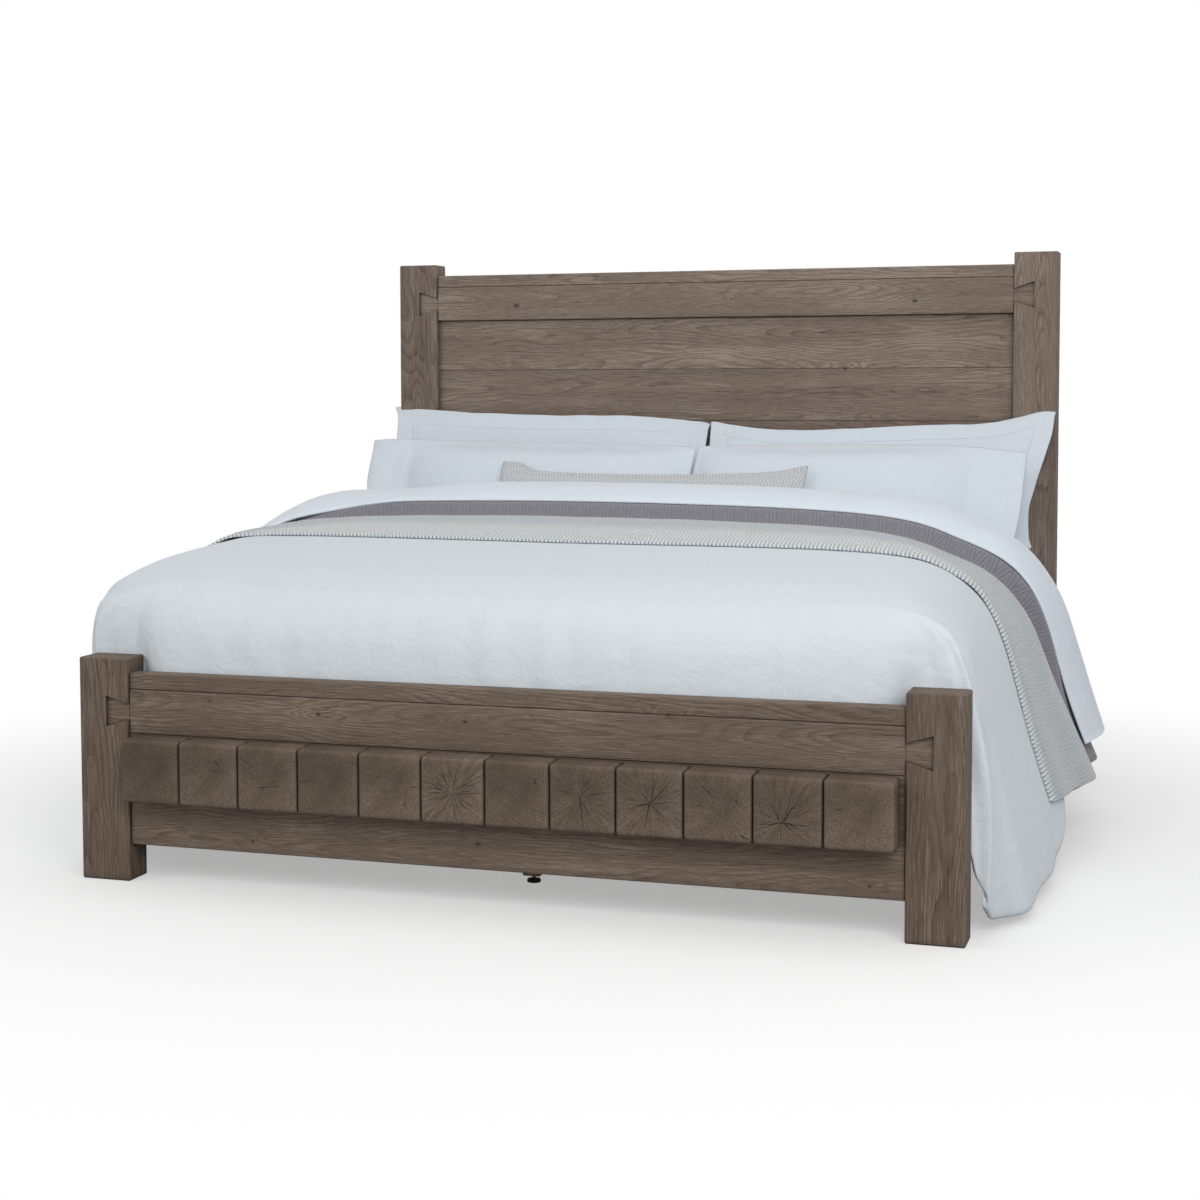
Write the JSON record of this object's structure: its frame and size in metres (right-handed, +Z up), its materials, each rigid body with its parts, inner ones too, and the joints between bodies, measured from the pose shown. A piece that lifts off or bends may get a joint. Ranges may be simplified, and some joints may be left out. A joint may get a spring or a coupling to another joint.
{
  "type": "poster bed",
  "caption": "Wood bed with square posts, a plank headboard, dovetailed rails, an end-grain block footboard, and full bedding.",
  "frame": {"origin": "on the floor, at the middle of the bed's width and length", "axes": "+X to the right seen from the foot end, +Y from the foot end to the head end, +Z up"},
  "size_m": [2.5133, 2.282, 1.59],
  "materials": {
    "oak": "wire-brushed and limed oak, matt grey-brown",
    "oak_end_grain": "oak end grain with rings, rays and drying checks, matt",
    "pine": "plain sawn softwood, unfinished",
    "zinc_steel": "zinc plated",
    "glide_nylon": "black nylon",
    "foundation_cloth": "woven cover",
    "mattress_sheet": "smooth cotton sheet",
    "duvet_cotton": "washed cotton, cool white",
    "blanket_wool": "fine wool, grey",
    "throw_knit": "soft knit with a fine chevron, cream",
    "sham_cotton": "washed cotton, cool white",
    "lumbar_weave": "textured weave, cream"
  },
  "bodies": {
    "frame": {"headboard_post_left": "oak", "headboard_post_right": "oak", "headboard_dovetail_rail": "oak", "headboard_cap": "oak", "headboard_plank_1": "oak", "headboard_plank_2": "oak", "headboard_plank_3": "oak", "headboard_plank_4": "oak", "headboard_plank_5": "oak", "headboard_bottom_rail": "oak", "headboard_back_batten": "pine", "footboard_post_left": "oak", "footboard_post_right": "oak", "footboard_dovetail_rail": "oak", "footboard_cap": "oak", "footboard_bottom_rail": "oak", "footboard_backer_board": "oak", "footboard_block_01": "oak_end_grain", "footboard_block_02": "oak_end_grain", "footboard_block_03": "oak_end_grain", "footboard_block_04": "oak_end_grain", "footboard_block_05": "oak_end_grain", "footboard_block_06": "oak_end_grain", "footboard_block_07": "oak_end_grain", "footboard_block_08": "oak_end_grain", "footboard_block_09": "oak_end_grain", "footboard_block_10": "oak_end_grain", "footboard_block_11": "oak_end_grain", "footboard_block_12": "oak_end_grain", "side_rail_left": "oak", "side_rail_right": "oak", "slat_ledger_left": "pine", "slat_ledger_right": "pine", "slat_1": "pine", "slat_2": "pine", "slat_3": "pine", "slat_4": "pine", "support_leg_1": "pine", "support_leg_2": "pine", "support_leg_3": "pine", "support_leg_4": "pine", "slat_screws": "zinc_steel", "rail_hook_plates": "zinc_steel", "post_slot_plates": "zinc_steel", "box_spring": "foundation_cloth", "mattress": "mattress_sheet", "duvet": "duvet_cotton", "duvet_turndown": "duvet_cotton", "wool_blanket": "blanket_wool", "knit_throw": "throw_knit", "back_pillow_left": "sham_cotton", "back_pillow_right": "sham_cotton", "front_pillow_left": "sham_cotton", "front_pillow_right": "sham_cotton", "lumbar_pillow": "lumbar_weave"},
    "glide_1": {"levelling_glide_1": "glide_nylon"},
    "glide_2": {"levelling_glide_2": "glide_nylon"},
    "glide_3": {"levelling_glide_3": "glide_nylon"},
    "glide_4": {"levelling_glide_4": "glide_nylon"}
  },
  "joints": [
    {"name": "glide_1_height", "type": "slide", "parent": "frame", "child": "glide_1", "axis": [0, 0, 1], "range_m": [-0.008, 0.008]},
    {"name": "glide_2_height", "type": "slide", "parent": "frame", "child": "glide_2", "axis": [0, 0, 1], "range_m": [-0.008, 0.008]},
    {"name": "glide_3_height", "type": "slide", "parent": "frame", "child": "glide_3", "axis": [0, 0, 1], "range_m": [-0.008, 0.008]},
    {"name": "glide_4_height", "type": "slide", "parent": "frame", "child": "glide_4", "axis": [0, 0, 1], "range_m": [-0.008, 0.008]}
  ]
}
